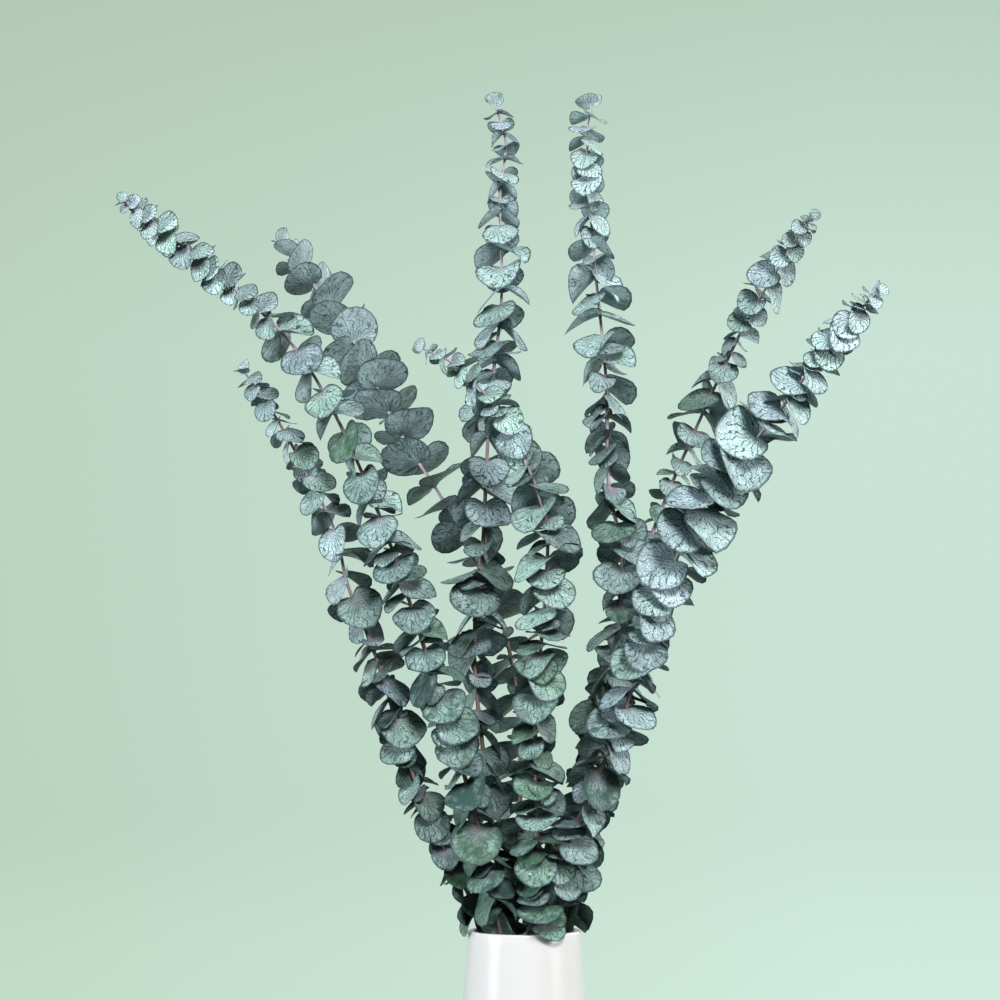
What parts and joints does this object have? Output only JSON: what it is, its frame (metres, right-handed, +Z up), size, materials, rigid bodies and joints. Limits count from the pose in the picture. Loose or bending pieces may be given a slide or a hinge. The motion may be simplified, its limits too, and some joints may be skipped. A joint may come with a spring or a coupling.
{
  "type": "eucalyptus branches in a vase",
  "caption": "Tall spray of cut eucalyptus branches with pairs of round blue-grey leaves, spreading from a plain white tapered ceramic vase with a flat base.",
  "frame": {"origin": "middle of the vase's flat underside, on the vase's own axis", "axes": "+Z up along the vase's axis, -Y towards the side the picture shows, +X to the right as seen from there"},
  "size_m": [0.5158, 0.429, 0.7907],
  "materials": {
    "ceramic": "gloss",
    "foliage": "matte"
  },
  "bodies": {
    "root": {"vase": "ceramic", "branch_far_left": "foliage", "branch_left_low": "foliage", "branch_left_back": "foliage", "branch_centre_tall": "foliage", "branch_centre_curved": "foliage", "branch_right_tall": "foliage", "branch_right_back": "foliage", "branch_far_right": "foliage"}
  },
  "joints": []
}
